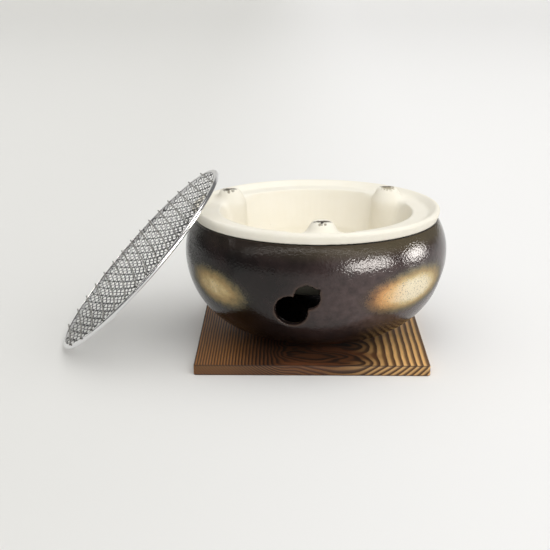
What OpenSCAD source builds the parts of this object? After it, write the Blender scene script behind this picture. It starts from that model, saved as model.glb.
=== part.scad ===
// Charcoal brazier: a round stoneware bowl with gourd-shaped draught vents stands on a
// square wooden board. A pale clay liner hangs in the bowl by its flange and carries three
// lugs for a round wire net, which leans against the flange while it is not in use.
// Z is up, Y runs away from the front. The origin is on the underside of the board,
// straight below the axis of the bowl. All sizes are in millimetres.

/* [Board] */
// Side of the square board
board_w = 230; // [190:1:280]
// Thickness of the board
board_t = 10.5; // [8:0.5:20]
// Radius of the board's four corners, seen from above
board_corner_r = 3; // [1:0.5:10]
// How far the middle of the board lies to the right of the bowl's axis
board_shift_x = -5; // [-15:0.5:15]
// How far the middle of the board lies behind the bowl's axis
board_shift_y = -5; // [-15:0.5:15]

/* [Bowl] */
// Widest diameter of the bowl
bowl_d = 271; // [264:1:284]
// Outer diameter of the bowl at its rim
bowl_rim_d = 250; // [242:1:256]
// Height of the bowl from its foot to its rim
bowl_h = 122; // [114:1:132]
// Height of the widest place above the foot
belly_h = 87.5; // [86.5:0.5:92]
// Radius of the curve from the widest place down to the foot
belly_r = 86; // [78:1:96]
// Radius of the curve from the widest place up to the rim
shoulder_r = 61.93; // [50:0.01:80]
// Thickness of the bowl's wall
bowl_wall = 9; // [6:0.5:11]
// Outer diameter of the foot ring
foot_d = 112; // [98:1:130]
// Width of the foot ring
foot_w = 10; // [6:1:14]
// Least height of the foot ring under the curved body
foot_h = 1.5; // [1:0.5:6]

/* [Vents] */
// Number of vents round the bowl
vent_count = 4; // [2:1:6]
// Direction that the first vent faces, counted from the right
vent_turn = -98; // [-135:1:-45]
// Height of the middle of a vent above the foot
vent_h = 64.5; // [58:0.5:72]
// Diameter of the large lobe
vent_large_d = 32; // [24:0.5:38]
// Diameter of the small lobe
vent_small_d = 25; // [18:0.5:30]
// Distance between the middles of the two lobes
vent_pitch = 22; // [18:0.5:26]
// How far a vent leans over from level
vent_tilt = 44; // [0:1:90]
// How far the stalk's tip stands out of the small lobe
vent_stalk = 5; // [2:0.5:8]
// How far the stalk droops from the line of the two lobes
vent_droop = 10; // [0:1:30]

/* [Liner] */
// Outer diameter of the flange at its underside
flange_d = 250; // [244:1:260]
// How much wider the flange is at its upper edge
flange_flare = 5; // [0:0.5:8]
// Height of the flange from its underside to its crest
flange_h = 11.2; // [9:0.1:16]
// Radius of the rounded crest of the flange
crest_r = 3.2; // [2:0.1:4]
// Thickness of the flat ring inside the flange
ring_t = 5.6; // [5:0.1:7]
// Diameter of the flat ring where it meets the flange's inner slope
ring_d = 231; // [222:1:236]
// Diameter of the liner's mouth, inside the flat ring
mouth_d = 199; // [190:1:206]
// Depth of the liner from the flat ring to its floor
liner_depth = 64; // [58:1:84]
// Radius of the curve between the liner's wall and its floor
liner_bend_r = 24; // [18:1:30]
// Inner diameter of the liner where its wall turns into that curve
liner_low_d = 174; // [160:1:184]
// Thickness of the liner's wall and floor
liner_wall = 8.5; // [6.5:0.5:10]

/* [Lugs] */
// Distance of the lugs from their common middle
lug_reach = 99.5; // [92:0.5:101]
// How far that middle lies to the right of the liner's axis
lug_shift_x = -3; // [-5:0.5:5]
// Direction of each lug, counted from the right
lug_turns = [-86, 35.5, 152]; // [-180:0.5:180]
// Diameter of a lug along the wall
lug_d = 36; // [26:1:40]
// Diameter of the flat on top of a lug
lug_top_d = 18; // [10:1:22]
// Height of the tapered end of a lug
lug_taper_h = 13; // [8:0.5:18]
// Width of the eased edge round the flat on top
lug_ease_w = 1.8; // [0.5:0.1:3]
// Height of that eased edge
lug_ease_h = 2; // [0.5:0.1:4]
// How far a lug stands above the crest of the flange
lug_rise = 5.5; // [3:0.5:10]

/* [Fire grate] */
// Diameter of the fire grate
grate_d = 100; // [90:1:104]
// Thickness of the fire grate
grate_t = 9; // [7:0.5:12]
// Clearance round the fire grate
grate_gap = 1.5; // [1:0.1:2.5]
// Width of the ledge that the fire grate rests on
ledge_w = 7; // [5:0.5:9]
// Depth of the ledge below the liner's floor
ledge_h = 4.5; // [3:0.5:5.5]
// Diameter of a hole in the fire grate
grate_hole_d = 9; // [6:0.5:11]
// Number of rings of holes round the middle hole
grate_rings = 2; // [1:1:2]
// Distance from one ring of holes to the next
grate_pitch = 17.5; // [15:0.5:19]

/* [Net] */
// Outer diameter of the net
net_d = 240; // [228:1:252]
// Width of the folded rim of the net
net_rim_w = 4.6; // [3.5:0.1:7]
// Thickness of the sheet that the rim is folded from
net_sheet_t = 0.7; // [0.4:0.1:0.9]
// How far the net is dished
net_dish = 5.2; // [3:0.1:10]
// Diameter of a mesh wire
mesh_wire_d = 1.2; // [0.8:0.1:1.3]
// Distance from one mesh wire to the next
mesh_pitch = 12.5; // [12.5:0.5:16]
// Angle between the two sets of mesh wires
mesh_angle = 55; // [50:1:90]
// Diameter of a support wire
support_wire_d = 1.6; // [1.2:0.1:2.2]
// Number of support wires
support_count = 15; // [9:1:15]
// Distance from one support wire to the next
support_pitch = 15.4; // [12:0.1:16]
// Turn of the two sets of mesh wires away from the support wires
mesh_skew = 13.5; // [-30:0.5:30]
// Turn of the net in its own plane
net_roll = 9; // [-90:1:90]
// Direction in which the net leans away from the bowl's axis, counted from the right
net_turn = 185; // [170:1:200]
// Distance of the net's foot from the bowl's axis
net_foot = 264; // [250:1:280]
// Clearance between the net and the flange that it leans on
net_gap = 0.3; // [0.2:0.05:0.6]

/* [Hidden] */
$fn = 144;

board_color = [0.45, 0.30, 0.18];
glaze_color = [0.13, 0.11, 0.10];
clay_color = [0.93, 0.90, 0.80];
grate_color = [0.85, 0.80, 0.68];
wire_color = [0.75, 0.76, 0.77];

// Small overlap that keeps cuts clean
cut = 1;
// Fine running gap between wires that cross
touch = 0.01;

// Bowl: heights are counted from the floor
foot_z = board_t;
belly_z = foot_z + belly_h;
rim_z = foot_z + bowl_h;
belly_cx = bowl_d / 2 - belly_r;
// The shoulder's arc runs through the widest place and the rim, and bulges outwards
shoulder_run = [(bowl_rim_d - bowl_d) / 2, rim_z - belly_z];
shoulder_half = norm(shoulder_run) / 2;
shoulder_dip = sqrt(pow(shoulder_r, 2) - pow(shoulder_half, 2)) / (2 * shoulder_half);
shoulder_cx = bowl_d / 2 + shoulder_run.x / 2 - shoulder_dip * shoulder_run.y;
shoulder_cz = belly_z + shoulder_run.y / 2 + shoulder_dip * shoulder_run.x;
// Underside of the bowl's curved body, cut flat where the curve would reach below the foot
base_z = max(belly_z - belly_r, foot_z + foot_h);

// Liner
flange_z = rim_z;
crest_z = flange_z + flange_h;
ring_z = flange_z + ring_t;
liner_floor_z = ring_z - liner_depth;
bend_z = liner_floor_z + liner_bend_r;
bend_cx = liner_low_d / 2 - liner_bend_r;
lip_cx = (flange_d + flange_flare) / 2 - crest_r;
lip_z = crest_z - crest_r;
ledge_z = liner_floor_z - ledge_h;
grate_seat_d = grate_d + 2 * grate_gap;
draught_d = grate_seat_d - 2 * ledge_w;
lug_top_z = crest_z + lug_rise;

// Net: the mesh lies between two spheres that share one centre
mesh_r = net_d / 2 - net_sheet_t;
dish_r = (pow(mesh_r, 2) + pow(net_dish, 2)) / (2 * net_dish);
dish_z = dish_r - net_dish;
layer = mesh_wire_d / 2 + touch;
rim_corner_r = net_sheet_t;
// How far the dished mesh has dropped at the inner edge of the rim
rim_drop = net_dish * (1 - pow((net_d / 2 - net_rim_w) / mesh_r, 2));
slot_h = 2 * (layer + mesh_wire_d / 2 + rim_drop + touch);
net_rim_h = slot_h + 2 * net_sheet_t;
wire_end_r = mesh_r - mesh_wire_d / 2;
mesh_count = 2 * floor((wire_end_r - net_rim_w) / mesh_pitch) + 1;
// Support wires touch the mesh in the middle of the net and lie on the rim's inner edge
support_end_r = net_d / 2 - net_rim_w / 3;
support_skin = support_wire_d / 2 + touch;
support_low_z = layer + mesh_wire_d / 2 + support_skin - net_dish;
support_climb = net_rim_h / 2 - support_low_z;
support_dish_r = (pow(net_d / 2 - net_rim_w, 2) + pow(support_climb, 2) - pow(support_skin, 2))
    / (2 * (support_climb + support_skin));

// Lean of the net. The sphere under the mesh keeps net_gap from the rounded crest of the
// flange, and the rim's lower corner stands on the floor.
function foot_rise(lean) =
    rim_corner_r + (net_rim_h / 2 - rim_corner_r) * cos(lean) - rim_corner_r * sin(lean);
function lean_for(rise) =
    let (dx = net_foot - lip_cx,
         dz = lip_z - rise,
         reach = norm([dx, dz]),
         skin_r = dish_r + layer + mesh_wire_d / 2 + net_gap + crest_r,
         along = net_d / 2,
         k = (pow(skin_r, 2) - pow(dish_z, 2) - pow(reach, 2) - pow(along, 2)) / 2)
    atan2(dz, dx) + acos(-k / (reach * norm([along, dish_z]))) - atan2(dish_z, along);
function settle(lean, rounds) =
    rounds == 0 ? lean : settle(lean_for(foot_rise(lean)), rounds - 1);
net_lean = settle(45, 4);
echo(net_lean = net_lean, foot_rise = foot_rise(net_lean));

module board() {
    inner = board_w - 2 * board_corner_r;
    color(board_color)
    translate([board_shift_x, board_shift_y, 0])
    linear_extrude(height = board_t) {
        square([inner, board_w], center = true);
        square([board_w, inner], center = true);
        for (sx = [-1, 1], sy = [-1, 1])
            translate([sx, sy] * inner / 2)
            circle(r = board_corner_r);
    }
}

// Half section of the bowl's outline, drawn in by inset and open past the rim by over
module bowl_section(inset, over) {
    deep = belly_z - base_z - inset;
    tall = rim_z - belly_z + over;
    intersection() {
        translate([belly_cx, belly_z])
        circle(r = belly_r - inset);
        translate([belly_cx - cut, base_z + inset])
        square([belly_r + cut, deep + cut]);
    }
    translate([0, base_z + inset])
    square([belly_cx, deep]);
    intersection() {
        translate([shoulder_cx, shoulder_cz])
        circle(r = shoulder_r - inset);
        translate([shoulder_cx, belly_z])
        square([shoulder_r, tall]);
    }
    translate([0, belly_z - cut])
    square([shoulder_cx + cut, tall + cut]);
}

// Outline of one vent: two round lobes and a pointed stalk, along the X axis
module gourd() {
    translate([-vent_pitch / 2, 0]) {
        circle(d = vent_large_d);
        translate([vent_pitch, 0])
        circle(d = vent_small_d);
        translate([vent_pitch, 0])
        rotate(-vent_droop)
        polygon([[0, -vent_small_d / 3],
                 [vent_small_d / 2 + vent_stalk, 0],
                 [0, vent_small_d / 3]]);
    }
}

module vent_cuts() {
    for (i = [0 : vent_count - 1])
        rotate([0, 0, vent_turn + i * 360 / vent_count])
        translate([belly_cx, 0, foot_z + vent_h])
        rotate([90, 0, 90])
        rotate([0, 0, vent_tilt])
        linear_extrude(height = belly_r + cut)
        gourd();
}

module outer_bowl() {
    color(glaze_color)
    difference() {
        union() {
            rotate_extrude()
            bowl_section(0, 0);
            translate([0, 0, foot_z])
            cylinder(d = foot_d, h = base_z + bowl_wall / 2 - foot_z);
        }
        rotate_extrude()
        bowl_section(bowl_wall, cut);
        translate([0, 0, foot_z - cut])
        cylinder(d = foot_d - 2 * foot_w, h = base_z - foot_z + cut);
        vent_cuts();
    }
}

// Half section of the liner's inside, grown outwards by grow and taller by over
module liner_section(grow, over) {
    mouth_r = mouth_d / 2 + grow;
    translate([bend_cx, bend_z])
    circle(r = liner_bend_r + grow);
    translate([0, liner_floor_z - grow])
    square([bend_cx, liner_bend_r + grow]);
    polygon([[0, bend_z],
             [liner_low_d / 2 + grow, bend_z],
             [mouth_r, ring_z],
             [mouth_r, ring_z + over],
             [0, ring_z + over]]);
}

// Where the line from a point to the crest's circle touches it, above or below the middle
function crest_touch(from, side) =
    let (to_lip = [lip_cx, lip_z] - from,
         turn = atan2(to_lip.y, to_lip.x) + side * asin(crest_r / norm(to_lip)),
         run = sqrt(pow(norm(to_lip), 2) - pow(crest_r, 2)))
    from + run * [cos(turn), sin(turn)];

// Half section of the flange, from the mouth to the crest
module flange_section() {
    edge = [flange_d / 2, flange_z];
    slope = [ring_d / 2, ring_z];
    polygon([[mouth_d / 2, flange_z],
             edge,
             crest_touch(edge, -1),
             [lip_cx, lip_z],
             crest_touch(slope, 1),
             slope,
             [mouth_d / 2, ring_z]]);
    translate([lip_cx, lip_z])
    circle(r = crest_r);
}

module lug() {
    translate([lug_reach, 0, 0])
    rotate_extrude()
    polygon([[0, liner_floor_z],
             [lug_d / 2, liner_floor_z],
             [lug_d / 2, lug_top_z - lug_taper_h],
             [lug_top_d / 2 + lug_ease_w, lug_top_z - lug_ease_h],
             [lug_top_d / 2, lug_top_z],
             [0, lug_top_z]]);
}

module lugs() {
    intersection() {
        for (turn = lug_turns)
            translate([lug_shift_x, 0, 0])
            rotate([0, 0, turn])
            lug();
        union() {
            rotate_extrude()
            liner_section(liner_wall, 0);
            translate([0, 0, flange_z])
            cylinder(r = lip_cx, h = lug_top_z);
        }
    }
}

module liner() {
    color(clay_color) {
        difference() {
            rotate_extrude() {
                liner_section(liner_wall, 0);
                flange_section();
            }
            rotate_extrude()
            liner_section(0, cut);
            translate([0, 0, ledge_z])
            cylinder(d = grate_seat_d, h = ledge_h + cut);
            translate([0, 0, liner_floor_z - liner_wall - cut])
            cylinder(d = draught_d, h = liner_wall + 2 * cut);
        }
        lugs();
    }
}

module fire_grate() {
    color(grate_color)
    translate([0, 0, ledge_z])
    difference() {
        cylinder(d = grate_d, h = grate_t);
        translate([0, 0, -cut]) {
            cylinder(d = grate_hole_d, h = grate_t + 2 * cut);
            for (ring = [1 : grate_rings], i = [0 : 6 * ring - 1])
                rotate([0, 0, i * 60 / ring])
                translate([ring * grate_pitch, 0, 0])
                cylinder(d = grate_hole_d, h = grate_t + 2 * cut);
        }
    }
}

// Stands a flat net, centred on the origin, on its rim and leans it on the flange
module lean_net() {
    rotate([0, 0, net_turn + 180])
    translate([-net_foot, 0, foot_rise(net_lean)])
    rotate([0, -net_lean, 0])
    translate([net_d / 2, 0, 0])
    rotate([0, 0, net_roll])
    children();
}

// A wire on a sphere whose lowest point is low_z, offset sideways from the middle
module arc_wire(offset, end_r, sphere_r, low_z, wire_d) {
    arc_r = sqrt(pow(sphere_r, 2) - pow(offset, 2));
    half = asin(sqrt(pow(end_r, 2) - pow(offset, 2)) / arc_r);
    translate([0, offset, low_z + sphere_r])
    rotate([90, 0, 0])
    rotate([0, 0, -90 - half])
    rotate_extrude(angle = 2 * half, $fn = 1440)
    translate([arc_r, 0])
    circle(d = wire_d, $fn = 16);
}

module mesh_wires(turn, side) {
    color(wire_color)
    lean_net()
    rotate([0, 0, 90 + turn])
    for (i = [0 : mesh_count - 1])
        arc_wire((i - (mesh_count - 1) / 2) * mesh_pitch, wire_end_r,
                 dish_r - side * layer, side * layer - net_dish, mesh_wire_d);
}

module net_mesh_over() {
    mesh_wires(mesh_skew + mesh_angle / 2, 1);
}

module net_mesh_under() {
    mesh_wires(mesh_skew - mesh_angle / 2, -1);
}

module net_support_wires() {
    color(wire_color)
    lean_net()
    rotate([0, 0, 90])
    for (i = [0 : support_count - 1])
        arc_wire((i - (support_count - 1) / 2) * support_pitch, support_end_r,
                 support_dish_r, support_low_z, support_wire_d);
}

// A channel folded from sheet, open towards the mesh
module net_rim() {
    color(wire_color)
    lean_net()
    rotate_extrude()
    translate([net_d / 2 - net_rim_w, 0])
    difference() {
        union() {
            translate([0, -net_rim_h / 2])
            square([net_rim_w - rim_corner_r, net_rim_h]);
            translate([0, rim_corner_r - net_rim_h / 2])
            square([net_rim_w, net_rim_h - 2 * rim_corner_r]);
            for (side = [-1, 1])
                translate([net_rim_w - rim_corner_r, side * (net_rim_h / 2 - rim_corner_r)])
                circle(r = rim_corner_r, $fn = 32);
        }
        translate([-cut, -slot_h / 2])
        square([net_rim_w - net_sheet_t + cut, slot_h]);
    }
}

board();
outer_bowl();
liner();
fire_grate();
net_rim();
net_mesh_over();
net_mesh_under();
net_support_wires();
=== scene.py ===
import math

import bmesh
import bpy
import numpy as np
from mathutils import Matrix, Vector


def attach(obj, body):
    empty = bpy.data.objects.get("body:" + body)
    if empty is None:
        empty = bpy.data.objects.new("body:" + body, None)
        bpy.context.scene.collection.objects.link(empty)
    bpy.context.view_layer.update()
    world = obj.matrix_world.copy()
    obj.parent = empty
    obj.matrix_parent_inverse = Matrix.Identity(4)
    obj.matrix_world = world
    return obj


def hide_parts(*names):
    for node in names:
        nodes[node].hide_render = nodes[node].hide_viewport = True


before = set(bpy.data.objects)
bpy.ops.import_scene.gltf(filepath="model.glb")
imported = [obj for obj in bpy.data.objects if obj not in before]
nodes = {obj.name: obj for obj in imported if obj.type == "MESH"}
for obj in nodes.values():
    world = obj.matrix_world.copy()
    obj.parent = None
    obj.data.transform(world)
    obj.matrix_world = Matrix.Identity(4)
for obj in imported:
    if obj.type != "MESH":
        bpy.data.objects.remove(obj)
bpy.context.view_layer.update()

mm = 0.001  # sizes below are written in millimetres and turned to metres with this


def linear(hexColour):
    # sRGB hex to the linear values that the shaders want
    parts = [int(hexColour[i:i + 2], 16) / 255 for i in (1, 3, 5)]
    return [c / 12.92 if c <= 0.04045 else ((c + 0.055) / 1.055) ** 2.4 for c in parts] + [1.0]


def addNode(tree, kind, settings=None, links=None):
    # kind: without its leading ShaderNode; settings: a socket by number or name, or a property
    # of the node; links: socket -> output
    made = tree.nodes.new("ShaderNode" + kind)
    for key, value in (settings or {}).items():
        if key == "ramp":
            stops = made.color_ramp.elements
            while len(stops) < len(value):
                stops.new(0.5)
            for stop, (place, colour) in zip(stops, value):
                stop.position = place
                stop.color = colour
        elif isinstance(key, int) or key in made.inputs:
            made.inputs[key].default_value = value
        else:
            setattr(made, key, value)
    for key, output in (links or {}).items():
        tree.links.new(output, made.inputs[key])
    return made


def newMaterial(name):
    material = bpy.data.materials.new(name)
    material.use_nodes = True
    tree = material.node_tree
    tree.nodes.clear()
    shader = addNode(tree, "BsdfPrincipled")
    addNode(tree, "OutputMaterial", links={"Surface": shader.outputs[0]})
    return material, tree, shader


def spotMask(tree, place, where, sizes, turn=(0, 0, 0), core=0.2, ragged=None):
    # 1 in the core of an ellipsoid, falling softly to 0 at its skin
    inside = addNode(tree, "Mapping",
                     {"vector_type": "TEXTURE", "Location": [v * mm for v in where], "Rotation": turn,
                      "Scale": [s * mm for s in sizes]}, {"Vector": place}).outputs[0]
    away = addNode(tree, "VectorMath", {"operation": "LENGTH"}, {0: inside}).outputs["Value"]
    if ragged is not None:
        away = addNode(tree, "Math", {"operation": "ADD"}, {0: away, 1: ragged}).outputs[0]
    return addNode(tree, "MapRange",
                   {"interpolation_type": "SMOOTHSTEP", "From Min": 1.0, "From Max": core},
                   {"Value": away}).outputs[0]


def addPiece(name, mesh, material):
    piece = bpy.data.objects.new(name, mesh)
    bpy.context.scene.collection.objects.link(piece)
    mesh.materials.clear()
    mesh.materials.append(material)
    return piece


def addMesh(name, points, faces, material):
    mesh = bpy.data.meshes.new(name)
    mesh.from_pydata([tuple(p) for p in points], [], faces)
    mesh.validate()
    return addPiece(name, mesh, material)


def copyNode(name, nodeName, material):
    # a free copy of a CAD solid, with the corners that its faces share joined again
    mesh = nodes[nodeName].data.copy()
    build = bmesh.new()
    build.from_mesh(mesh)
    bmesh.ops.remove_doubles(build, verts=build.verts, dist=0.002 * mm)
    build.to_mesh(mesh)
    build.free()
    return addPiece(name, mesh, material)


def applyModifiers(piece):
    seen = piece.evaluated_get(bpy.context.evaluated_depsgraph_get())
    mesh = bpy.data.meshes.new_from_object(seen)
    old = piece.data
    piece.modifiers.clear()
    piece.data = mesh
    bpy.data.meshes.remove(old)


def soften(piece, rounds, group=""):
    soft = piece.modifiers.new("soften", "SMOOTH")
    soft.factor = 0.5
    soft.iterations = rounds
    soft.vertex_group = group
    applyModifiers(piece)


def remesh(piece, spec):
    shape = piece.modifiers.new("clay", "REMESH")
    shape.mode = "VOXEL"
    shape.voxel_size = spec["voxel"] * mm
    applyModifiers(piece)
    soften(piece, spec["softening"])


def readPoints(piece, what="co"):
    places = np.empty(len(piece.data.vertices) * 3)
    piece.data.vertices.foreach_get(what, places)
    return places.reshape(-1, 3)


def writePoints(piece, places):
    piece.data.vertices.foreach_set("co", places.ravel())
    piece.data.update()


def keepOnMesh(piece, name, values):
    # a number for each point, which a material reads back by its name
    attribute = piece.data.attributes.new(name, "FLOAT", "POINT")
    attribute.data.foreach_set("value", values.astype(np.float32))


def finishPiece(piece, body, slotName, *replaced):
    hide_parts(*replaced)
    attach(piece, body)
    print("made", piece.name, len(piece.data.polygons), "faces")


cameraSpec = {
    "place": (-26.97, -1202.81, 417.43),  # mm
    "tilt": 73.749,                       # degrees up from straight down
    "turn": 0.731,                        # degrees to the left
    "lens": 77.94,                        # mm on a 36 mm sensor
}


def placeCamera(spec):
    eye = bpy.data.cameras.new("photoCamera")
    eye.lens = spec["lens"]
    eye.sensor_width = 36
    eye.clip_end = 100
    camera = bpy.data.objects.new("photoCamera", eye)
    camera.location = Vector(spec["place"]) * mm
    camera.rotation_euler = (math.radians(spec["tilt"]), 0, math.radians(spec["turn"]))
    bpy.context.scene.collection.objects.link(camera)
    bpy.context.scene.camera = camera


placeCamera(cameraSpec)
print("camera placed")


boardSpec = {
    "middle": (-5, -5),      # mm, the board's middle seen from above
    "side": 230,
    "thick": 10.5,
    "bevel": 0.9,
    "pithRight": 11,         # mm, heart of the tree to the right of the board's middle
    "pithAbove": 105,        # mm, and above the board's underside
    "ring": 4.4,             # mm, growth of one year on the right half
    "crowding": 2.1,         # rings lie this much closer on the left half
    "crowdHalf": (-58, 14),  # mm to the right of the heart: closest, widest
    "wander": 46,            # mm, how far the grain strays near the heart
    "wanderSize": 34,        # mm, width of one such stray
    "wanderHalf": (22, 60),  # mm to either side of the heart: full straying, next to none
    "fibre": (0.35, 14),     # mm, width and length; drawn coarser than life so that it shows
    "cloud": (60, 50),       # mm, size of the patches of scorch and painted shade, and how far they move their border
    "scorchAndShadeHalf": (60, 112), # mm from the middle: full scorch and painted shade, none
    "rightHalf": (10, 60),   # mm to the right of the middle: the left's tones, the right's
    # pale early wood and dark late wood: left, right, and the middle darkened by scorch and painted shade
    "early": ("#A06C38", "#F2BE78", "#5C361A"),
    "late": ("#3B210C", "#4E2A0F", "#1C0E07"),
    "endDark": 0.66,         # end grain drinks more oil than the faces
    "blush": "#8A4F2A",      # reddish flames where the scorch is thin
    "charred": "#2A190E",    # along the edges
    "edgeChar": 0.75,        # how fully the edges are charred
    "edgeWide": (1.5, 0.3),  # mm from a face: not charred yet, fully charred
    "rough": (0.5, 0.66),    # from fibre to fibre
    "raised": 0.25,          # mm, how far the late wood stands out
}


# Cedar, scorched and wire brushed, then oiled: pale early wood, dark raised late wood,
# a darker middle, partly scorch and partly painted shade from the bowl, and nearly black edges, with a low
# sheen
def burntBrushedCedar(spec):
    material, tree, shader = newMaterial("burntBrushedCedar")
    place = addNode(tree, "TexCoord").outputs["Object"]
    local = addNode(tree, "VectorMath",
                    {"operation": "SUBTRACT", 1: (spec["middle"][0] * mm, spec["middle"][1] * mm, 0)},
                    {0: place}).outputs[0]
    axes = addNode(tree, "SeparateXYZ", links={0: local}).outputs
    fromPith = addNode(tree, "Math", {"operation": "SUBTRACT", 1: spec["pithRight"] * mm},
                       {0: axes[0]}).outputs[0]
    # the rings rise and fall along the board near the heart, which cuts flames into its top
    stretched = addNode(tree, "Mapping", {"Scale": (0.4, 1, 0.4)}, {"Vector": local}).outputs[0]
    wander = addNode(tree, "TexNoise", {"Scale": 1 / (spec["wanderSize"] * mm), "Detail": 1.5},
                     {"Vector": stretched}).outputs[0]
    wanderBoth = addNode(tree, "Math", {"operation": "SUBTRACT", 1: 0.5}, {0: wander}).outputs[0]
    offPith = addNode(tree, "Math", {"operation": "ABSOLUTE"}, {0: fromPith}).outputs[0]
    strays = addNode(tree, "MapRange",
                     {"interpolation_type": "SMOOTHSTEP", "From Min": spec["wanderHalf"][0] * mm,
                      "From Max": spec["wanderHalf"][1] * mm,
                      "To Min": spec["wander"] * mm, "To Max": 0.03 * spec["wander"] * mm},
                     {"Value": offPith}).outputs[0]
    depth = addNode(tree, "Math", {"operation": "SUBTRACT", 0: spec["pithAbove"] * mm},
                    {1: axes[2]}).outputs[0]
    strayed = addNode(tree, "Math", {"operation": "MULTIPLY_ADD"},
                      {0: wanderBoth, 1: strays, 2: depth}).outputs[0]
    flatPair = addNode(tree, "CombineXYZ", links={0: fromPith, 1: strayed}).outputs[0]
    radius = addNode(tree, "VectorMath", {"operation": "LENGTH"}, {0: flatPair}).outputs["Value"]
    crowd = addNode(tree, "MapRange",
                    {"interpolation_type": "SMOOTHSTEP", "From Min": spec["crowdHalf"][0] * mm,
                     "From Max": spec["crowdHalf"][1] * mm,
                     "To Min": spec["crowding"] / (spec["ring"] * mm), "To Max": 1 / (spec["ring"] * mm)},
                    {"Value": fromPith}).outputs[0]
    grown = addNode(tree, "Math", {"operation": "SUBTRACT", 1: spec["pithAbove"] * mm},
                    {0: radius}).outputs[0]
    rings = addNode(tree, "Math", {"operation": "MULTIPLY"}, {0: grown, 1: crowd}).outputs[0]
    year = addNode(tree, "Math", {"operation": "FRACT"}, {0: rings}).outputs[0]
    # fibres: fine streaks along the board
    wide, long = spec["fibre"]
    thin = addNode(tree, "Mapping",
                   {"Scale": (1 / (wide * mm), 1 / (long * mm), 1 / (wide * mm))},
                   {"Vector": local}).outputs[0]
    fibre = addNode(tree, "TexNoise", {"Scale": 1.0, "Detail": 2.0}, {"Vector": thin}).outputs[0]
    yearSoft = addNode(tree, "Math", {"operation": "MULTIPLY_ADD", 1: 0.22, 2: -0.11},
                       {0: fibre}).outputs[0]
    yearFibre = addNode(tree, "Math", {"operation": "ADD", "use_clamp": True},
                        {0: year, 1: yearSoft}).outputs[0]
    # late wood grows slowly darker and stops sharply at the year's end
    late = addNode(tree, "ValToRGB", {"ramp": [
        (0.0, (0.3, 0.3, 0.3, 1)), (0.08, (0, 0, 0, 1)), (0.34, (0.08, 0.08, 0.08, 1)),
        (0.58, (0.8, 0.8, 0.8, 1)), (0.9, (1, 1, 1, 1)), (1.0, (0.5, 0.5, 0.5, 1))]},
                   {0: yearFibre}).outputs[0]
    # scorch and painted shade from the bowl: strongest down the middle, patchy, and thinner on the sawn
    # front end
    cloudSize, cloudShift = spec["cloud"]
    cloud = addNode(tree, "TexNoise", {"Scale": 1 / (cloudSize * mm), "Detail": 3.0},
                    {"Vector": stretched}).outputs[0]
    offMiddle = addNode(tree, "Math", {"operation": "ABSOLUTE"}, {0: axes[0]}).outputs[0]
    cloudy = addNode(tree, "Math", {"operation": "MULTIPLY_ADD", 1: cloudShift * mm},
                     {0: cloud, 2: offMiddle}).outputs[0]
    onTop = addNode(tree, "MapRange",
                    {"From Min": -spec["side"] / 2 * mm, "From Max": (1 - spec["side"] / 2) * mm,
                     "To Min": 0.5, "To Max": 1.0}, {"Value": axes[1]}).outputs[0]
    scorchAndShade = addNode(tree, "MapRange",
                     {"interpolation_type": "SMOOTHSTEP", "From Min": spec["scorchAndShadeHalf"][0] * mm,
                      "From Max": spec["scorchAndShadeHalf"][1] * mm, "To Max": 0.0},
                     {"Value": cloudy, "To Min": onTop}).outputs[0]
    leftEnd, rightStart = spec["rightHalf"]
    rightness = addNode(tree, "MapRange", {"From Min": leftEnd * mm, "From Max": rightStart * mm},
                        {"Value": axes[0]}).outputs[0]
    tones = []
    for left, right, scorchShadeTone in (spec["early"], spec["late"]):
        side = addNode(tree, "Mix", {"data_type": "RGBA", 6: linear(left), 7: linear(right)},
                       {0: rightness}).outputs[2]
        tones.append(addNode(tree, "Mix", {"data_type": "RGBA", 7: linear(scorchShadeTone)},
                             {0: scorchAndShade, 6: side}).outputs[2])
    wood = addNode(tree, "Mix", {"data_type": "RGBA"},
                   {0: late, 6: tones[0], 7: tones[1]}).outputs[2]
    # reddish flames where the scorch is thin near the heart
    blush = addNode(tree, "MapRange", {"From Min": 0.5, "From Max": 0.62, "To Max": 0.45},
                    {"Value": wander}).outputs[0]
    blushHere = addNode(tree, "Math", {"operation": "MULTIPLY"}, {0: blush, 1: scorchAndShade}).outputs[0]
    flamed = addNode(tree, "Mix", {"data_type": "RGBA", 7: linear(spec["blush"])},
                     {0: blushHere, 6: wood}).outputs[2]
    shade = addNode(tree, "MapRange",
                    {"From Min": 0.3, "From Max": 0.7, "To Min": 0.8, "To Max": 1.15},
                    {"Value": fibre}).outputs[0]
    offEnds = addNode(tree, "Math", {"operation": "ABSOLUTE"}, {0: axes[1]}).outputs[0]
    endShade = addNode(tree, "MapRange",
                       {"From Min": (spec["side"] / 2 - 0.6) * mm, "From Max": spec["side"] / 2 * mm,
                        "To Min": 1.0, "To Max": spec["endDark"]}, {"Value": offEnds}).outputs[0]
    shades = addNode(tree, "Math", {"operation": "MULTIPLY"}, {0: shade, 1: endShade}).outputs[0]
    streaked = addNode(tree, "VectorMath", {"operation": "SCALE"},
                       {0: flamed, "Scale": shades}).outputs[0]
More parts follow.
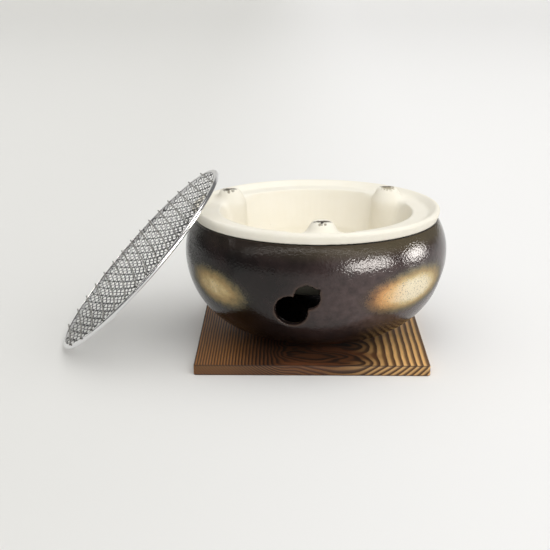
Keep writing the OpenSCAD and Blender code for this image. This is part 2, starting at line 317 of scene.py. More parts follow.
    # charred edges: two of the three distances to the outside are small
    halves = (spec["side"] / 2, spec["side"] / 2, spec["thick"] / 2)
    sound, black = spec["edgeWide"]
    centred = addNode(tree, "VectorMath",
                      {"operation": "SUBTRACT", 1: (0, 0, spec["thick"] / 2 * mm)}, {0: local}).outputs[0]
    sizes = addNode(tree, "VectorMath", {"operation": "ABSOLUTE"}, {0: centred}).outputs[0]
    sides = addNode(tree, "SeparateXYZ", links={0: sizes}).outputs
    near = [addNode(tree, "MapRange",
                    {"interpolation_type": "SMOOTHSTEP", "From Min": (halves[axis] - sound) * mm,
                     "From Max": (halves[axis] - black) * mm}, {"Value": sides[axis]}).outputs[0]
            for axis in range(3)]
    edge = None
    for a, b in ((0, 1), (1, 2), (0, 2)):
        both = addNode(tree, "Math", {"operation": "MULTIPLY"},
                       {0: near[a], 1: near[b]}).outputs[0]
        links = {0: both} if edge is None else {0: both, 1: edge}
        edge = addNode(tree, "Math", {"operation": "MAXIMUM", 1: 0.0}, links).outputs[0]
    charred = addNode(tree, "Math", {"operation": "MULTIPLY", 1: spec["edgeChar"]},
                      {0: edge}).outputs[0]
    colour = addNode(tree, "Mix", {"data_type": "RGBA", 7: linear(spec["charred"])},
                     {0: charred, 6: streaked}).outputs[2]
    tree.links.new(colour, shader.inputs["Base Color"])
    rough = addNode(tree, "MapRange", {"To Min": spec["rough"][0], "To Max": spec["rough"][1]},
                    {"Value": fibre}).outputs[0]
    tree.links.new(rough, shader.inputs["Roughness"])
    raised = addNode(tree, "Math", {"operation": "MULTIPLY_ADD", 1: 0.35},
                     {0: fibre, 2: late}).outputs[0]
    bump = addNode(tree, "Bump", {"Distance": spec["raised"] * mm, "Strength": 1.0},
                   {"Height": raised})
    tree.links.new(bump.outputs[0], shader.inputs["Normal"])
    shader.inputs["IOR"].default_value = 1.5
    shader.inputs["Specular IOR Level"].default_value = 0.3
    return material


def makeBoard(spec):
    piece = copyNode("cedarBoard", "board", burntBrushedCedar(spec))
    build = bmesh.new()
    build.from_mesh(piece.data)
    bmesh.ops.dissolve_limit(build, angle_limit=math.radians(1), verts=build.verts, edges=build.edges)
    sharp = [e for e in build.edges if len(e.link_faces) == 2 and e.calc_face_angle() > math.radians(60)]
    bmesh.ops.bevel(build, geom=sharp, offset=spec["bevel"] * mm, segments=3, profile=0.5, affect="EDGES")
    build.to_mesh(piece.data)
    build.free()
    piece.data.shade_smooth()
    piece.data.set_sharp_from_angle(angle=math.radians(35))
    finishPiece(piece, "board", "brushed_cedar", "board")


makeBoard(boardSpec)


bowlSpec = {
    "voxel": 1.3,            # mm, mesh size
    "softening": 7,          # rounds of smoothing, which round the vents' lips to about 2 mm
    "wobble": (0.3, 70),     # mm, how uneven the thrown wall is, and over what length
    "wobbleSeed": 3,
    # how sharply a lip bends where the glaze begins to thin, and where it is thinnest
    "lipBend": (0.035, 0.12),
    "peel": 2.2,             # mm, size of the dimples in the glaze, drawn coarser than life to show
    "peelDeep": 0.3,         # mm
    "footTop": 13.5,         # mm, raw clay below this height
    "gapFrom": 131.6,        # mm, painted shadow under the liner's flange above this height
    "wallReach": 132,        # mm, from the axis to the middle of a patch
    "patchDeep": 60,         # mm, half depth of a patch across the wall
    "amberLong": 40,         # mm, half length of an amber end
    "blotch": 38,            # mm, size of the glaze's broad blotches
    "mottle": 7,             # mm, and of its mottling
    "grain": 1.3,            # mm, and of the speckle; coarser than life so that it shows
    "dark": ("#0C0908", "#171110", "#241B1A"),
    "paintedSheen": "#5C4C4A",     # painted sheen in purple brown: the pale table's reflection and the light from the right, between shoulder and foot
    "sheenHalf": (-70, 80), # mm to the right of the axis: none, full
    "sheenHigh": 140,       # mm, height over which the ramp of the painted sheen runs
    "olive": "#544C3A",      # at the rim
    "oliveBand": (114, 127), # mm above the table: none, full
    # bleached glaze, from the rim of a patch to its middle
    "straw": ("#2A2622", "#444233", "#786B4A", "#A98E5E", "#D2BC8A", "#F0E3C4"),
    "amber": ("#2A221E", "#4A3A2C", "#8C6440", "#D29C60", "#E8BE86"),
    "pinhole": "#3A2C1C",
    "thinGlaze": "#4B3A30",  # on the vents' lips
    "rawClay": "#6B5A48",    # foot ring
    "gap": "#120D09",        # painted shadow under the flange
    "glossRough": (0.05, 0.16),
    "mattRough": 0.5,        # in the middle of a patch
    # where the flame bleached the glaze: direction, height, half length, half height, slope,
    # how pale it got, and where an amber end lies, if it has one
    "flamePatches": [
        {"turn": -139, "height": 80, "length": 62, "band": 29, "slope": -9, "pale": 0.8, "amber": None},
        {"turn": -46, "height": 81, "length": 78, "band": 31, "slope": 4, "pale": 1.15, "amber": -18},
        {"turn": 38, "height": 82, "length": 60, "band": 28, "slope": 0, "pale": 0.85, "amber": -20},
        {"turn": 128, "height": 79, "length": 65, "band": 31, "slope": 5, "pale": 0.75, "amber": None},
    ],
}


# Stoneware under a dark iron glaze, fired glossy with a coarse orange peel; it is nearly
# black on the left, with painted light on the right: a purple brown painted sheen for the table's
# reflection, and olive at the rim made stronger there; the flame has bleached it to speckled tan and straw
# in four places
def darkIronGlaze(spec):
    material, tree, shader = newMaterial("darkIronGlaze")
    place = addNode(tree, "TexCoord").outputs["Object"]
    axes = addNode(tree, "SeparateXYZ", links={0: place}).outputs
    broad = addNode(tree, "TexNoise",
                    {"Scale": 1 / (spec["blotch"] * mm), "Detail": 3.0, "Distortion": 0.6},
                    {"Vector": place}).outputs[0]
    mottle = addNode(tree, "TexNoise", {"Scale": 1 / (spec["mottle"] * mm), "Detail": 4.0},
                     {"Vector": place}).outputs[0]
    grain = addNode(tree, "TexNoise", {"Scale": 1 / (spec["grain"] * mm), "Detail": 2.0},
                    {"Vector": place}).outputs[0]
    darks = [linear(tone) for tone in spec["dark"]]
    base = addNode(tree, "ValToRGB", {"ramp": list(zip((0.34, 0.5, 0.66), darks))},
                   {0: broad}).outputs[0]
    # painted sheen in purple brown towards the right, between the shoulder and the foot: the pale table's
    # reflection and the light from the right, painted into the glaze's colour
    rightness = addNode(tree, "MapRange",
                        {"interpolation_type": "SMOOTHSTEP", "From Min": spec["sheenHalf"][0] * mm,
                         "From Max": spec["sheenHalf"][1] * mm},
                        {"Value": axes[0]}).outputs[0]
    bellyBand = addNode(tree, "ValToRGB", {"ramp": [
        (0.24, (0, 0, 0, 1)), (0.42, (0.9, 0.9, 0.9, 1)), (0.6, (1, 1, 1, 1)), (0.8, (0.5, 0.5, 0.5, 1))]},
                        {0: addNode(tree, "MapRange", {"From Max": spec["sheenHigh"] * mm},
                                    {"Value": axes[2]}).outputs[0]}).outputs[0]
    sheenHere = addNode(tree, "Math", {"operation": "MULTIPLY"},
                         {0: rightness, 1: bellyBand}).outputs[0]
    patchy = addNode(tree, "MapRange",
                     {"From Min": 0.3, "From Max": 0.7, "To Min": 0.55, "To Max": 1.1},
                     {"Value": mottle}).outputs[0]
    sheenCover = addNode(tree, "Math", {"operation": "MULTIPLY", "use_clamp": True},
                          {0: sheenHere, 1: patchy}).outputs[0]
    sheened = addNode(tree, "Mix", {"data_type": "RGBA", 7: linear(spec["paintedSheen"])},
                      {0: sheenCover, 6: base}).outputs[2]
    # thin olive brown at the rim, made stronger on the right by painted light from the right
    rimBand = addNode(tree, "MapRange",
                      {"interpolation_type": "SMOOTHSTEP", "From Min": spec["oliveBand"][0] * mm,
                       "From Max": spec["oliveBand"][1] * mm},
                      {"Value": axes[2]}).outputs[0]
    rimLitSide = addNode(tree, "MapRange", {"To Min": 0.1, "To Max": 0.8},
                      {"Value": rightness}).outputs[0]
    rimCover = addNode(tree, "Math", {"operation": "MULTIPLY"},
                       {0: rimBand, 1: rimLitSide}).outputs[0]
    banded = addNode(tree, "Mix", {"data_type": "RGBA", 7: linear(spec["olive"])},
                     {0: rimCover, 6: sheened}).outputs[2]
    # flame patches, broken up by the grain
    most = {}
    for patch in spec["flamePatches"]:
        for key, shift in (("pale", 0), ("amber", patch["amber"])):
            if shift is None:
                continue
            spin = math.radians(patch["turn"] + shift)
            where = (spec["wallReach"] * math.cos(spin), spec["wallReach"] * math.sin(spin), patch["height"])
            # local x runs along the wall, y out of it, z up it
            tilt = (Matrix.Rotation(spin - math.pi / 2, 3, "Z")
                    @ Matrix.Rotation(math.radians(patch["slope"]), 3, "Y"))
            half = patch["length"] if key == "pale" else spec["amberLong"]
            sizes = (half, spec["patchDeep"], patch["band"])
            one = spotMask(tree, place, where, sizes, tilt.to_euler(), 0.1)
            if key == "pale":
                one = addNode(tree, "Math", {"operation": "MULTIPLY", 1: patch["pale"]},
                              {0: one}).outputs[0]
            links = {0: one, 1: most[key]} if key in most else {0: one}
            most[key] = addNode(tree, "Math", {"operation": "MAXIMUM", 1: 0.0}, links).outputs[0]
    pale, amber = most["pale"], most["amber"]
    grainShift = addNode(tree, "Math", {"operation": "MULTIPLY_ADD", 1: 0.55, 2: -0.275},
                         {0: grain}).outputs[0]
    shifts = addNode(tree, "Math", {"operation": "MULTIPLY_ADD", 1: 0.3},
                     {0: mottle, 2: grainShift}).outputs[0]
    centred = addNode(tree, "Math", {"operation": "SUBTRACT", 1: 0.15}, {0: shifts}).outputs[0]
    bell = addNode(tree, "MapRange", {"From Min": 0.0, "From Max": 0.25},
                   {"Value": pale}).outputs[0]
    bleach = addNode(tree, "Math", {"operation": "MULTIPLY_ADD", "use_clamp": True},
                     {0: centred, 1: bell, 2: pale}).outputs[0]
    bleached = []
    for tones, places in ((spec["straw"], (0.0, 0.2, 0.42, 0.64, 0.82, 1.0)),
                          (spec["amber"], (0.0, 0.2, 0.42, 0.66, 0.9))):
        stops = list(zip(places, [linear(tone) for tone in tones]))
        bleached.append(addNode(tree, "ValToRGB", {"ramp": stops}, {0: bleach}).outputs[0])
    patchColour = addNode(tree, "Mix", {"data_type": "RGBA"},
                          {0: amber, 6: bleached[0], 7: bleached[1]}).outputs[2]
    cover = addNode(tree, "MapRange",
                    {"interpolation_type": "SMOOTHSTEP", "From Min": 0.0, "From Max": 0.5},
                    {"Value": bleach}).outputs[0]
    fired = addNode(tree, "Mix", {"data_type": "RGBA"},
                    {0: cover, 6: banded, 7: patchColour}).outputs[2]
    # pinholes in the matt patches
    pits = addNode(tree, "MapRange",
                   {"interpolation_type": "SMOOTHSTEP", "From Min": 0.56, "From Max": 0.66, "To Max": 0.6},
                   {"Value": grain}).outputs[0]
    pitted = addNode(tree, "Math", {"operation": "MULTIPLY"}, {0: pits, 1: cover}).outputs[0]
    # glaze breaks to brown where it runs thin over the vents' lips
    edge = addNode(tree, "Attribute", {"attribute_name": "lipWear"}).outputs["Fac"]
    layers = [(pitted, spec["pinhole"]), (edge, spec["thinGlaze"])]
    # raw clay on the foot ring, and a black line of painted shadow under the flange
    for low, high, tone in ((spec["footTop"] + 1, spec["footTop"], spec["rawClay"]),
                            (spec["gapFrom"] - 0.6, spec["gapFrom"] + 0.4, spec["gap"])):
        here = addNode(tree, "MapRange",
                       {"interpolation_type": "SMOOTHSTEP", "From Min": low * mm, "From Max": high * mm},
                       {"Value": axes[2]}).outputs[0]
        layers.append((here, tone))
    for here, tone in layers:
        fired = addNode(tree, "Mix", {"data_type": "RGBA", 7: linear(tone)},
                        {0: here, 6: fired}).outputs[2]
    tree.links.new(fired, shader.inputs["Base Color"])
    glossRough = addNode(tree, "MapRange",
                         {"To Min": spec["glossRough"][0], "To Max": spec["glossRough"][1]},
                         {"Value": mottle}).outputs[0]
    rough = addNode(tree, "Mix", {"data_type": "FLOAT", 3: spec["mattRough"]},
                    {0: cover, 2: glossRough}).outputs[0]
    tree.links.new(rough, shader.inputs["Roughness"])
    peel = addNode(tree, "TexNoise", {"Scale": 1 / (spec["peel"] * mm), "Detail": 2.0},
                   {"Vector": place}).outputs[0]
    bump = addNode(tree, "Bump", {"Distance": spec["peelDeep"] * mm, "Strength": 1.0},
                   {"Height": peel})
    tree.links.new(bump.outputs[0], shader.inputs["Normal"])
    shader.inputs["IOR"].default_value = 1.54
    shader.inputs["Specular IOR Level"].default_value = 0.3
    return material


def lipWear(piece, voxel, low, high):
    # how sharply the surface bends outwards at each point
    places = readPoints(piece)
    ends = np.empty(len(piece.data.edges) * 2, dtype=np.int64)
    piece.data.edges.foreach_get("vertices", ends)
    ends = ends.reshape(-1, 2)
    total = np.zeros_like(places)
    count = np.zeros(len(places))
    for a, b in ((0, 1), (1, 0)):
        np.add.at(total, ends[:, a], places[ends[:, b]])
        np.add.at(count, ends[:, a], 1)
    hollow = ((total / count[:, None] - places) * readPoints(piece, "normal")).sum(axis=1) / (voxel * mm)
    bend = np.clip((-hollow - low) / (high - low), 0, 1)
    for _ in range(2):
        spread = np.zeros(len(places))
        for a, b in ((0, 1), (1, 0)):
            np.add.at(spread, ends[:, a], bend[ends[:, b]])
        bend = 0.5 * bend + 0.5 * spread / count
    keepOnMesh(piece, "lipWear", bend)


def slowNoise(places, size, seed):
    # smooth made-up unevenness between 0 and 1, from a few sine waves
    draw = np.random.default_rng(seed)
    value = np.zeros(len(places))
    for _ in range(8):
        way = draw.normal(size=3)
        way /= np.linalg.norm(way)
        pace = 2 * math.pi / (size * mm) * draw.uniform(0.6, 1.5)
        value += np.sin(places @ way * pace + draw.uniform(0, 2 * math.pi))
    return 0.5 + 0.5 * np.tanh(value / 2.5)


def makeBowl(spec):
    piece = copyNode("glazedBowl", "outer_bowl", darkIronGlaze(spec))
    remesh(piece, spec)
    lipWear(piece, spec["voxel"], *spec["lipBend"])
    # the wall is pulled in a little here and there, never out past the solid
    places = readPoints(piece)
    reach = np.hypot(places[:, 0], places[:, 1])
    deep, size = spec["wobble"]
    wall = reach > 60 * mm  # the bowl's floor stays as it is
    pull = slowNoise(places, size, spec["wobbleSeed"]) * deep * mm * wall
    places[:, :2] *= (1 - pull / np.maximum(reach, mm))[:, None]
    writePoints(piece, places)
    piece.data.shade_smooth()
    finishPiece(piece, "bowl", "dark_glazed_stoneware", "outer_bowl")


makeBowl(bowlSpec)


linerSpec = {
    "voxel": 1.3,                  # mm
    "softening": 3,
    "lugTurns": (-86, 35.5, 152),  # degrees: front, right and left lug
    "lugReach": 99.5,              # mm, from the lugs' common middle
    "lugShift": -3,                # mm, that middle to the right of the axis
    "lugTop": 149.2,               # mm
    "filletRounds": 110,           # rounds of smoothing where a lug meets the wall and the flange
    "filletFrom": (10, 6),         # mm from a lug's middle: none yet, and from there to full
    "filletTo": (34, 9),           # mm: none again, and from full to there
    "filletBelow": (4, 5),         # mm under the lug's top: none yet, and from there to full
    "innerReach": 121,             # mm from the axis, where the flange's crest begins
    "outerWall": (104, 136),       # mm: the hidden outside lies beyond and below these
    "hiddenBelow": 131,             # mm, the hidden outside below the flange is coloured darker grey
    "clay": ("#F6F2E6", "#F1EBDA"),
    # the one large speck on the wall: place, half sizes, colour, cover
    "darkSpeck": ((62.7, 64.4, 107.3), (1.2, 1.2, 1.2), "#3A3228", 0.9),
    # the same for the marks of each lug, from its top's middle: grey kiln marks, with the painted shade of a
    # shallow dish that the flat tops don't have
    "lugMarksAndShade": [
        [((-0.3, -1.6, 0), (11, 5.2, 5), "#463E2E", 0.92),
         ((-0.4, -6, -0.3), (2, 5.5, 4), "#251B10", 0.95),
         ((-2.6, -9.4, -1), (1.9, 2.2, 2), "#8E846F", 0.8),
         ((2.6, -9.2, -1), (1.9, 2.2, 2), "#7F7562", 0.8)],
        [((0.2, -4.2, 0), (9, 8, 5), "#A09478", 0.85),
         ((0, 1.4, 0), (9.4, 4.4, 5), "#5E5543", 0.95)],
        [((-0.5, -1.2, 0), (10, 5, 5), "#4E4636", 0.9),
         ((-3.2, -5, 0), (5, 5, 5), "#443C2E", 0.85),
         ((-1.2, -10, -1), (2, 3, 2.4), "#857B67", 0.8),
         ((3, -8, -0.4), (2.6, 3, 3), "#7B725E", 0.75)],
    ],
}

grateSpec = {
    "voxel": 0.9,                  # mm
    "softening": 2,
    "clay": ("#DCCBA8", "#CDBA94"),
}

claySpec = {
    "cloud": 22,          # mm
    "speck": 0.9,         # mm, the largest iron speck
    "speckPitch": 6,      # mm, size of the cells, of which one in five holds a speck
    "speckTone": "#8A7458",
    # darker grey for the liner's hidden outside and underside
    "hiddenGrey": "#6A675C",
    "fray": 2,            # mm, how ragged the edge of a kiln mark is
    "grit": (0.9, 0.04),  # mm, size and height; coarser than life so that it shows
    "rough": 0.87,
}


# Pale refractory clay, slip smoothed and fired without glaze: dry, cream coloured and matt,
# with tiny iron specks and a faint cloudiness; coloured darker grey on its hidden outside and underside
def paleClay(name, spec, spots):
    material, tree, shader = newMaterial(name)
    place = addNode(tree, "TexCoord").outputs["Object"]
    cloud = addNode(tree, "TexNoise", {"Scale": 1 / (claySpec["cloud"] * mm), "Detail": 4.0},
                    {"Vector": place}).outputs[0]
    colour = addNode(tree, "Mix",
                     {"data_type": "RGBA", 6: linear(spec["clay"][0]), 7: linear(spec["clay"][1])},
                     {0: cloud}).outputs[2]
    pitch = claySpec["speckPitch"]
    cells = addNode(tree, "TexVoronoi", {"Scale": 1 / (pitch * mm), "Randomness": 1.0},
                    {"Vector": place}).outputs
    cellRed = addNode(tree, "SeparateColor", links={0: cells["Color"]}).outputs[0]
    size = addNode(tree, "MapRange",
                   {"From Min": 0.8, "From Max": 1.0, "To Max": claySpec["speck"] / (2 * pitch)},
                   {"Value": cellRed}).outputs[0]
    speck = addNode(tree, "Math", {"operation": "LESS_THAN"},
                    {0: cells["Distance"], 1: size}).outputs[0]
    faint = addNode(tree, "Math", {"operation": "MULTIPLY", 1: 0.4}, {0: speck}).outputs[0]
    colour = addNode(tree, "Mix", {"data_type": "RGBA", 7: linear(claySpec["speckTone"])},
                     {0: faint, 6: colour}).outputs[2]
    frayed = addNode(tree, "TexNoise", {"Scale": 1 / (claySpec["fray"] * mm), "Detail": 2.0},
                     {"Vector": place}).outputs[0]
    ragged = addNode(tree, "Math", {"operation": "MULTIPLY_ADD", 1: 1.1, 2: -0.55},
                     {0: frayed}).outputs[0]
    # the iron speck, and the lugs' kiln marks with the painted shade of a shallow dish in each top
    for where, sizes, tone, strength in spots:
        cover = spotMask(tree, place, where, sizes, core=0.45, ragged=ragged)
        cover = addNode(tree, "Math", {"operation": "MULTIPLY", 1: strength},
                        {0: cover}).outputs[0]
        colour = addNode(tree, "Mix", {"data_type": "RGBA", 7: linear(tone)},
                         {0: cover, 6: colour}).outputs[2]
    # darker grey where the mesh marks the hidden outside and underside
    hiddenGrey = addNode(tree, "Attribute", {"attribute_name": "kilnSmoke"}).outputs["Fac"]
    colour = addNode(tree, "Mix", {"data_type": "RGBA", 7: linear(claySpec["hiddenGrey"])},
                     {0: hiddenGrey, 6: colour}).outputs[2]
    tree.links.new(colour, shader.inputs["Base Color"])
    shader.inputs["Roughness"].default_value = claySpec["rough"]
    shader.inputs["IOR"].default_value = 1.5
    shader.inputs["Specular IOR Level"].default_value = 0.3
    gritSize, gritHigh = claySpec["grit"]
    grit = addNode(tree, "TexNoise", {"Scale": 1 / (gritSize * mm), "Detail": 3.0},
                   {"Vector": place}).outputs[0]
    bump = addNode(tree, "Bump", {"Distance": gritHigh * mm, "Strength": 1.0}, {"Height": grit})
    tree.links.new(bump.outputs[0], shader.inputs["Normal"])
    return material


def lugMiddle(spec, turn):
    spin = math.radians(turn)
    reach = spec["lugReach"]
    return np.array([spec["lugShift"] + reach * math.cos(spin), reach * math.sin(spin)])


def clayMarksAndShade(spec):
    # grey kiln marks on the lugs' flat tops, with the painted shade of a shallow dish in each, and one dark
    # speck on the wall
    spots = [spec["darkSpeck"]]
    for turn, group in zip(spec["lugTurns"], spec["lugMarksAndShade"]):
        x, y = lugMiddle(spec, turn)
        for (dx, dy, dz), sizes, tone, strength in group:
            spots.append(((x + dx, y + dy, spec["lugTop"] + dz), sizes, tone, strength))
    return spots


def easeLugs(piece, spec):
    # rounds the corners between each lug, the wall and the flange
    places = readPoints(piece) / mm
    reach = np.hypot(places[:, 0], places[:, 1])
    weights = np.zeros(len(places))
    (near, nearBlend), (far, farBlend) = spec["filletFrom"], spec["filletTo"]
    under, underBlend = spec["filletBelow"]
    wallReach, wallTop = spec["outerWall"]
    outside = (reach > wallReach) & (places[:, 2] < wallTop)
    for turn in spec["lugTurns"]:
        away = np.hypot(*(places[:, :2] - lugMiddle(spec, turn)).T)
        # strongest at the foot of the lug, none on its flat top
        ring = np.clip((away - near) / nearBlend, 0, 1) * np.clip((far - away) / farBlend, 0, 1)
        low = np.clip((spec["lugTop"] - under - places[:, 2]) / underBlend, 0, 1)
        weights = np.maximum(weights, ring * low * (reach < spec["innerReach"]) * ~outside)
    group = piece.vertex_groups.new(name="fillets")
    for index in np.nonzero(weights > 0.01)[0]:
        group.add([int(index)], float(weights[index]), "REPLACE")
    soften(piece, spec["filletRounds"], "fillets")


def markHiddenOutside(piece, spec):
    # 1 on the wall's hidden outside and underside, 0 on what shows from above
    places = readPoints(piece) / mm
    normals = readPoints(piece, "normal")
    reach = np.maximum(np.hypot(places[:, 0], places[:, 1]), 1)
    outward = (places[:, :2] * normals[:, :2]).sum(axis=1) / reach
    wall = np.clip((outward - 0.1) / 0.3, 0, 1) * (reach > 70)
    below = np.clip((-normals[:, 2] - 0.3) / 0.3, 0, 1)
    under = np.clip((spec["hiddenBelow"] - places[:, 2]) / 2, 0, 1)
    keepOnMesh(piece, "kilnSmoke", np.maximum(wall, below) * under)


def makeLiner(spec):
    piece = copyNode("clayLiner", "liner", paleClay("paleClay", spec, clayMarksAndShade(spec)))
    remesh(piece, spec)
    easeLugs(piece, spec)
    markHiddenOutside(piece, spec)
    piece.data.shade_smooth()
    finishPiece(piece, "liner", "pale_clay", "liner")


def makeGrate(spec):
    piece = copyNode("clayGrate", "fire_grate", paleClay("grogClay", spec, []))
    remesh(piece, spec)
    keepOnMesh(piece, "kilnSmoke", np.zeros(len(piece.data.vertices)))
    piece.data.shade_smooth()
    finishPiece(piece, "grate", "grate_clay", "fire_grate")


makeLiner(linerSpec)
makeGrate(grateSpec)


# The mesh is woven plainly: each wire passes over one crossing wire and under the next
netSpec = {
    "radius": 120,         # mm, outside of the rim
    "rimWide": 4.6,        # mm, from there to the folded lip
    "rimCuts": 240,        # round the rim
    "foldCuts": 17,        # round its outer edge
    # mm, how the sheet runs on under the rim, from the middle of its outer fold and from its lip
    "foldUnder": (-0.5, 0.25),
    "foldLip": ((0.35, -1.35), (0.05, -1.1), (0, -0.3), (0.25, 0)),
    "sheet": 0.7,          # mm, thickness of the rim's sheet
    "dish": 5.2,           # mm, how deep the mesh hangs in the middle
    "wire": 0.76,          # mm, across
    "pitch": 8.9,          # mm between mesh wires
    "crimp": 1.5,          # mm, how far a wire swings to pass over and under
    "crimpSharp": 1.2,     # more makes the swings squarer
    "turns": (140, 85),    # degrees from the uphill direction, one for each set of wires
    "endGap": 0.1,         # mm, between a wire's end and the rim's sheet
    "edgeFree": 4,         # mm inside the rim without a wire along it
    "rings": (24, 150),    # cuts along the shortest and the longest wire
    "sides": 8,
    # tones and roughness; the wires and rods are set darker than bright plating, as they look in the photo:
    # painted shade for the dark surroundings they mirror
    "plating": {
        "platedWire": ("#46474A", "#5E5F62", 0.16),
        "platedRod": ("#5E5C56", "#7B786F", 0.26),
        "platedSheet": ("#E0E0E2", "#EAEAEB", 0.18),
    },
    "dulling": 9,          # mm, size of the duller places
    "drawn": (0.5, 0.01),  # mm, size and height of the drawn grain; coarser than life so that it shows
}


# Steel wire and sheet, drawn or rolled, then nickel-chrome plated: the rim bright, the wires
# and rods painted darker as shade, with a soft drawn grain that blurs what they mirror
def platedSteel(name, spec):
    material, tree, shader = newMaterial(name)
    dark, bright, rough = spec["plating"][name]
    place = addNode(tree, "TexCoord").outputs["Object"]
    dull = addNode(tree, "TexNoise", {"Scale": 1 / (spec["dulling"] * mm), "Detail": 3.0},
                   {"Vector": place}).outputs[0]
    tint = addNode(tree, "Mix", {"data_type": "RGBA", 6: linear(dark), 7: linear(bright)},
                   {0: dull}).outputs[2]
    tree.links.new(tint, shader.inputs["Base Color"])
    shader.inputs["Metallic"].default_value = 1.0
    spread = addNode(tree, "MapRange", {"To Min": rough - 0.06, "To Max": rough + 0.08},
                     {"Value": dull}).outputs[0]
    tree.links.new(spread, shader.inputs["Roughness"])
    drawnSize, drawnHigh = spec["drawn"]
    drawn = addNode(tree, "TexNoise", {"Scale": 1 / (drawnSize * mm), "Detail": 2.0},
                    {"Vector": place}).outputs[0]
    bump = addNode(tree, "Bump", {"Distance": drawnHigh * mm, "Strength": 1.0},
                   {"Height": drawn})
    tree.links.new(bump.outputs[0], shader.inputs["Normal"])
    return material


def netFrame():
    # the net's own axes, read from its rim: uphill, sideways and out of its face
    points = np.array([v.co for v in nodes["net_rim"].data.vertices])
    rough = points.mean(axis=0)
    flat = np.linalg.svd(points - rough, full_matrices=False)[2]
    face = flat[2] * np.sign(flat[2][2])
    uphill = np.array([0, 0, 1.0]) - face * face[2]
    uphill /= np.linalg.norm(uphill)
    axes = np.array([uphill, np.cross(face, uphill), face])
    local = (points - rough) @ axes.T
    middle = rough + ((local.min(axis=0) + local.max(axis=0)) / 2) @ axes
    thick = np.ptp(local[:, 2]) / mm
    return middle, axes, thick


def tubeAlong(path, radius, sides, face):
    # rings of points round a path, and the quads between them, closed at both ends
    along = np.gradient(path, axis=0)
    along /= np.linalg.norm(along, axis=1)[:, None]
    up = face - along * (along @ face)[:, None]
    up /= np.linalg.norm(up, axis=1)[:, None]
    across = np.cross(along, up)
    angles = np.arange(sides) * 2 * math.pi / sides
    ring = up[:, None] * np.cos(angles)[None, :, None] + across[:, None] * np.sin(angles)[None, :, None]
    points = (path[:, None] + ring * radius).reshape(-1, 3)
    faces = []
    for k in range(len(path) - 1):
        low, high = k * sides, (k + 1) * sides
        faces += [(low + i, low + (i + 1) % sides, high + (i + 1) % sides, high + i) for i in range(sides)]
    faces.append(tuple(reversed(range(sides))))
    faces.append(tuple((len(path) - 1) * sides + i for i in range(sides)))
    return points, faces


def wovenSet(name, spec, which, middle, axes, material):
    own, other = (math.radians(t) for t in (spec["turns"][which], spec["turns"][1 - which]))
    way, offWay = np.array([math.cos(own), math.sin(own)]), np.array([-math.sin(own), math.cos(own)])
    otherOff = np.array([-math.sin(other), math.cos(other)])
    meshReach = spec["radius"] - spec["sheet"]
    endReach = meshReach - spec["wire"] / 2 - spec["endGap"]
    ball = (meshReach ** 2 + spec["dish"] ** 2) / (2 * spec["dish"])
    lift = 1 if which == 0 else -1
    count = int((endReach - spec["edgeFree"]) / spec["pitch"])
    fewest, most = spec["rings"]
    sharp = spec["crimpSharp"]
    points, faces = [], []
    for index in range(-count, count + 1):
        off = index * spec["pitch"]
        half = math.sqrt(endReach ** 2 - off ** 2)
        steps = np.linspace(-half, half, max(fewest, int(most * half / endReach)))
        flat = off * offWay + steps[:, None] * way
        crossing = (flat @ otherOff) / spec["pitch"]
        wave = np.tanh(sharp * np.cos(math.pi * (crossing + index))) / math.tanh(sharp)
        reach = np.hypot(*flat.T)
        height = ball - spec["dish"] - np.sqrt(ball ** 2 - reach ** 2) + lift * spec["crimp"] * wave
        path = middle + np.column_stack([flat, height]) * mm @ axes
        ringPoints, ringFaces = tubeAlong(path, spec["wire"] / 2 * mm, spec["sides"], axes[2])
        faces += [tuple(i + len(points) for i in face) for face in ringFaces]
        points += list(ringPoints)
    piece = addMesh(name, points, faces, material)
    piece.data.shade_smooth()
    return piece


def foldedRim(spec, middle, axes, thick, material):
    # sheet rolled round the ends of the wires: half round outside, its under side bent up to the lip
    outer = thick / 2
    core = spec["radius"] - outer
    lip = spec["radius"] - spec["rimWide"]
    bends = np.linspace(math.pi / 2, -math.pi / 2, spec["foldCuts"])
    outside = [(core + outer * math.cos(a), outer * math.sin(a)) for a in bends]
    under = [(core + spec["foldUnder"][0], -outer + spec["foldUnder"][1])]
    profile = outside + under + [(lip + r, outer + z) for r, z in spec["foldLip"]]
    turns, size = spec["rimCuts"], len(profile)
    points, faces = [], []
    for k in range(turns):
        spin = 2 * math.pi * k / turns
        ring = [(r * math.cos(spin), r * math.sin(spin), z) for r, z in profile]
        points += list(middle + np.array(ring) * mm @ axes)
        here, there = k * size, (k + 1) % turns * size
        faces += [(here + i, here + (i + 1) % size, there + (i + 1) % size, there + i) for i in range(size)]
    piece = addMesh("netRimFold", points, faces, material)
    piece.data.shade_smooth()
    piece.data.set_sharp_from_angle(angle=math.radians(50))
    return piece


def makeNet(spec):
    wire, rod, sheet = (platedSteel(name, spec) for name in spec["plating"])
    middle, axes, thick = netFrame()
    finishPiece(foldedRim(spec, middle, axes, thick, sheet), "net", "chrome_rim", "net_rim")
    sets = (("netWeaveOver", "net_mesh_over"), ("netWeaveUnder", "net_mesh_under"))
    for which, (name, nodeName) in enumerate(sets):
        finishPiece(wovenSet(name, spec, which, middle, axes, wire), "net", "chrome_wire", nodeName)
    # the support wires keep their CAD shape
    supports = nodes["net_support_wires"].data
    supports.materials.clear()
    supports.materials.append(rod)


makeNet(netSpec)


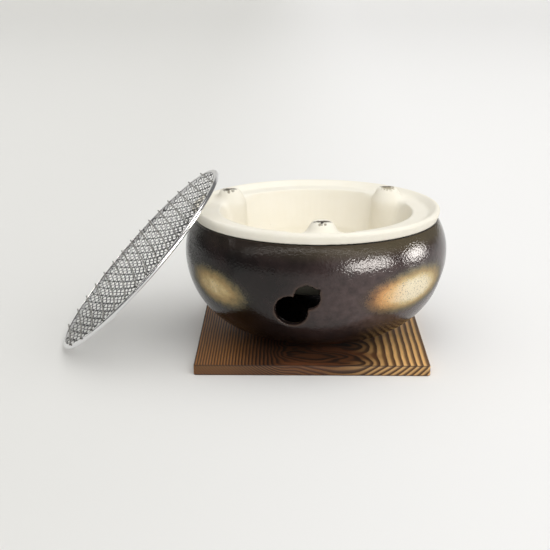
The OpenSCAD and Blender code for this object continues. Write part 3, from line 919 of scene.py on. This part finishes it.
studioSpec = {
    "floorSide": 30,                    # m
    "wallAway": 9,                      # m, pale backdrop behind, out of the picture
    "wallTurns": (62, 138),             # degrees, where it begins and ends
    "wallHigh": 5,                      # m
    # painted light on the table: grey on the left, nearly white on the right, as if lit from the right
    "floorLightTones": ("#E6E5E1", "#F8F7F5"),
    "floorLightBlend": (-0.32, 0.26),        # m, from left to right of the brazier
    "floorFarShade": (0.6, 5.0, 0.85),       # from here to there, in m, painted shade darkens the floor to this share
    "floorRough": 0.9,
    "floorGloss": 0.1,                  # share of a full gloss
    "world": 0.17,
    "aim": (0, 0, 0.08),                # m, what the lamps point at
    "sunAway": 3,                       # m
    # broad soft lamps that gloss doesn't show: direction, height, width in degrees,
    # share of full light
    "suns": [
        {"turn": -28, "rise": 54, "wide": 85, "level": 0.36},
        {"turn": -100, "rise": 84, "wide": 120, "level": 0.36},
        {"turn": -82, "rise": 20, "wide": 105, "level": 0.39},
    ],
    "paneColour": (1.0, 0.95, 0.9),
    # panes that only gloss shows: direction, height, distance in m, width, height in m, strength
    "panes": [
        {"turn": -45, "rise": 11, "away": 1.5, "wide": 0.95, "tall": 0.32, "level": 25},
        {"turn": 1.6, "rise": 8, "away": 1.5, "wide": 0.5, "tall": 0.34, "level": 24},
        {"turn": -50, "rise": 14, "away": 1.6, "wide": 1.7, "tall": 1.1, "level": 0.8},
        {"turn": -95, "rise": 41, "away": 1.5, "wide": 4.5, "tall": 0.06, "level": 7},
        {"turn": -90, "rise": 88, "away": 1.6, "wide": 0.8, "tall": 0.8, "level": 5},
    ],
}


# Matt white table top, evenly lit, with painted light: pale grey on the left, nearly white on the right, and
# painted darker far away
def paleTable(spec):
    material, tree, shader = newMaterial("paleTable")
    place = addNode(tree, "TexCoord").outputs["Object"]
    axes = addNode(tree, "SeparateXYZ", links={0: place}).outputs
    blend = addNode(tree, "MapRange",
                    {"interpolation_type": "SMOOTHSTEP", "From Min": spec["floorLightBlend"][0],
                     "From Max": spec["floorLightBlend"][1]}, {"Value": axes[0]}).outputs[0]
    left, right = (linear(tone) for tone in spec["floorLightTones"])
    colour = addNode(tree, "Mix", {"data_type": "RGBA", 6: left, 7: right}, {0: blend}).outputs[2]
    far = addNode(tree, "MapRange",
                  {"interpolation_type": "SMOOTHSTEP", "From Min": spec["floorFarShade"][0],
                   "From Max": spec["floorFarShade"][1], "To Min": 1.0, "To Max": spec["floorFarShade"][2]},
                  {"Value": axes[1]}).outputs[0]
    faded = addNode(tree, "VectorMath", {"operation": "SCALE"},
                    {0: colour, "Scale": far}).outputs[0]
    tree.links.new(faded, shader.inputs["Base Color"])
    shader.inputs["Roughness"].default_value = spec["floorRough"]
    shader.inputs["Specular IOR Level"].default_value = spec["floorGloss"]
    return material


def directionTo(turn, rise):
    spin, lift = math.radians(turn), math.radians(rise)
    return Vector((math.cos(spin) * math.cos(lift), math.sin(spin) * math.cos(lift), math.sin(lift)))


def addLight(name, kind, place, aim):
    light = bpy.data.lights.new(name, kind)
    lamp = bpy.data.objects.new(name, light)
    lamp.location = place
    lamp.rotation_euler = (aim - place).to_track_quat("-Z", "Y").to_euler()
    bpy.context.scene.collection.objects.link(lamp)
    return lamp


def makeStudio(spec):
    half = spec["floorSide"] / 2
    white = paleTable(spec)
    floor = addMesh("tableTop", [(-half, -half, 0), (half, -half, 0), (half, half, 0), (-half, half, 0)],
                    [(0, 1, 2, 3)], white)
    spins = np.radians(np.linspace(*spec["wallTurns"], 25))
    feet = [(spec["wallAway"] * math.cos(s), spec["wallAway"] * math.sin(s)) for s in spins]
    wall = addMesh("backWall", [(x, y, z) for x, y in feet for z in (0, spec["wallHigh"])],
                   [(2 * k, 2 * k + 1, 2 * k + 3, 2 * k + 2) for k in range(len(feet) - 1)], white)
    world = bpy.data.worlds.new("dimRoom")
    world.use_nodes = True
    world.node_tree.nodes["Background"].inputs[0].default_value = (spec["world"],) * 3 + (1,)
    bpy.context.scene.world = world
    middle = Vector(spec["aim"])
    for number, one in enumerate(spec["suns"]):
        where = middle + directionTo(one["turn"], one["rise"]) * spec["sunAway"]
        sun = addLight("softSun%d" % number, "SUN", where, middle)
        sun.data.energy = one["level"] * math.pi
        sun.data.angle = math.radians(one["wide"])
        sun.visible_glossy = False
    for number, pane in enumerate(spec["panes"]):
        where = middle + directionTo(pane["turn"], pane["rise"]) * pane["away"]
        lamp = addLight("pane%d" % number, "AREA", where, middle)
        lamp.data.shape = "RECTANGLE"
        lamp.data.size, lamp.data.size_y = pane["wide"], pane["tall"]
        # a pane of radiance L gives off L * area * pi watts
        lamp.data.energy = pane["level"] * pane["wide"] * pane["tall"] * math.pi
        lamp.data.color = spec["paneColour"]
        lamp.visible_diffuse = False
    bpy.context.scene.view_settings.view_transform = "Standard"
    print("floor and light placed")


makeStudio(studioSpec)
